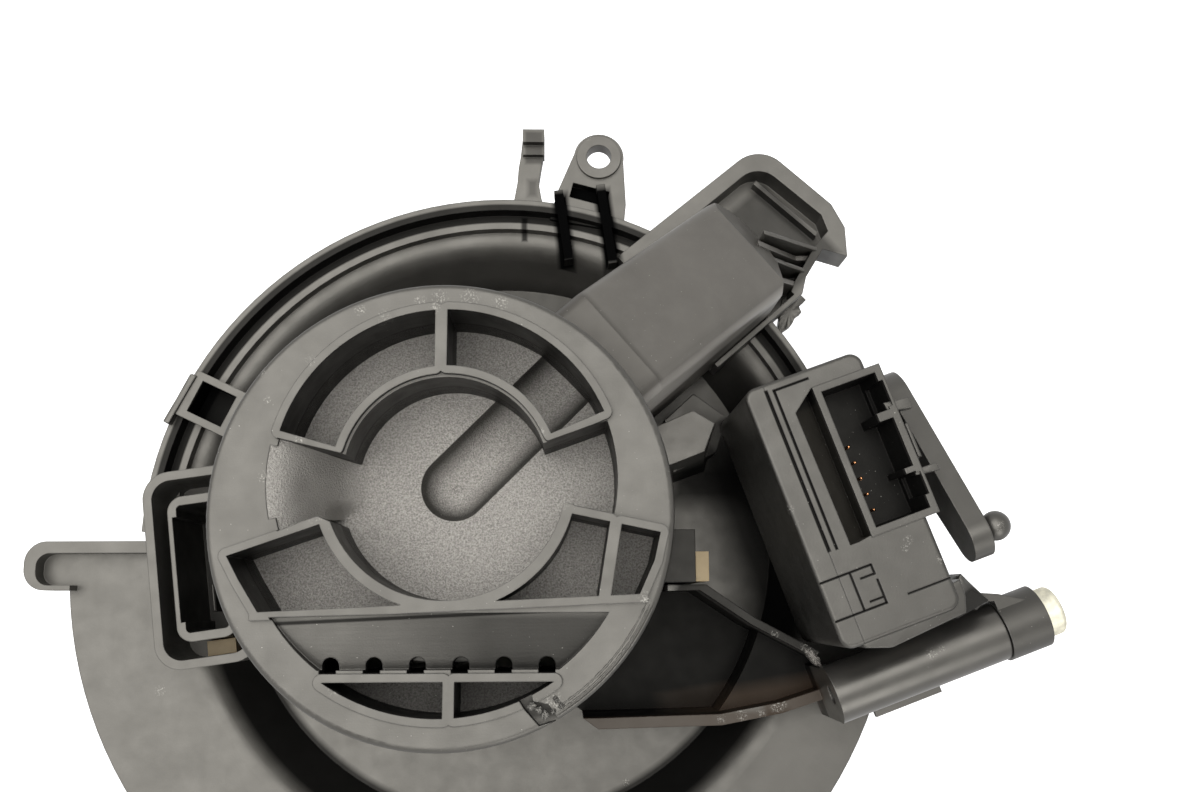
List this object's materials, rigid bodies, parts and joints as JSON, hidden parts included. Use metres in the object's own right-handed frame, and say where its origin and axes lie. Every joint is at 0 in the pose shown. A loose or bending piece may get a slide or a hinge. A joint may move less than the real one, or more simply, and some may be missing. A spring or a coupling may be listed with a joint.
{
  "type": "car cabin blower motor",
  "caption": "Capped motor in a round cover with a squirrel-cage fan below, an air-cooling duct, a power connector and a flap actuator with a swinging ball lever.",
  "frame": {"origin": "on the motor axis, in the plane of the screw ears' lower face, which is the centre of the two screw holes' circle", "axes": "+Z along the motor axis towards the motor cap, +Y towards the snap arm, +X towards the actuator side"},
  "size_m": [0.2369, 0.2037, 0.128],
  "materials": {
    "cover_plastic": "satin moulded black plastic",
    "cap_plastic": "fine-grained moulded black plastic",
    "duct_plastic": "satin moulded black plastic",
    "soft_ring": "soft black elastomer",
    "plated_steel": "zinc-plated drawn steel",
    "ferrite": "sintered ferrite",
    "bush_metal": "sintered bronze",
    "steel": "ground steel",
    "lamination": "stacked electrical steel",
    "copper": "bare copper",
    "card_plastic": "brown phenolic plate",
    "carbon": "pressed carbon",
    "fan_plastic": "moulded black plastic",
    "connector_plastic": "moulded black plastic",
    "terminal_metal": "tinned metal",
    "pale_plastic": "cream plastic",
    "actuator_plastic": "satin moulded black plastic",
    "lever_plastic": "smooth black plastic",
    "worn_metal": "worn plated steel"
  },
  "bodies": {
    "housing": {"scroll_cover": "cover_plastic", "motor_cap": "cap_plastic", "cooling_duct": "duct_plastic", "isolator_ring": "soft_ring", "motor_can": "plated_steel", "magnets": "ferrite", "fan_end_bush": "bush_metal", "cap_end_bush": "bush_metal", "brush_card": "card_plastic", "brushes": "carbon", "brush_springs": "steel", "power_connector": "connector_plastic", "power_terminals": "terminal_metal", "power_leads": "terminal_metal", "lock_lugs": "pale_plastic", "actuator_case": "actuator_plastic", "actuator_cover": "actuator_plastic", "socket_pins": "copper", "actuator_bracket": "cover_plastic", "bracket_screw": "worn_metal"},
    "rotor": {"motor_shaft": "steel", "armature_core": "lamination", "upper_winding": "copper", "lower_winding": "copper", "commutator": "copper", "fan_wheel": "fan_plastic", "fan_blades": "fan_plastic", "fan_ring": "fan_plastic", "fan_clip": "steel"},
    "lever": {"output_lever": "lever_plastic"}
  },
  "joints": [
    {"name": "rotor_spin", "type": "hinge", "parent": "housing", "child": "rotor", "pos_m": [0, 0, 0], "axis": [0, 0, 1], "continuous": true},
    {"name": "lever_swivel", "type": "hinge", "parent": "housing", "child": "lever", "pos_m": [0.07617, 0.0111, 0.03], "axis": [0.9397, 0.342, 0], "range_deg": [-30, 45]}
  ]
}
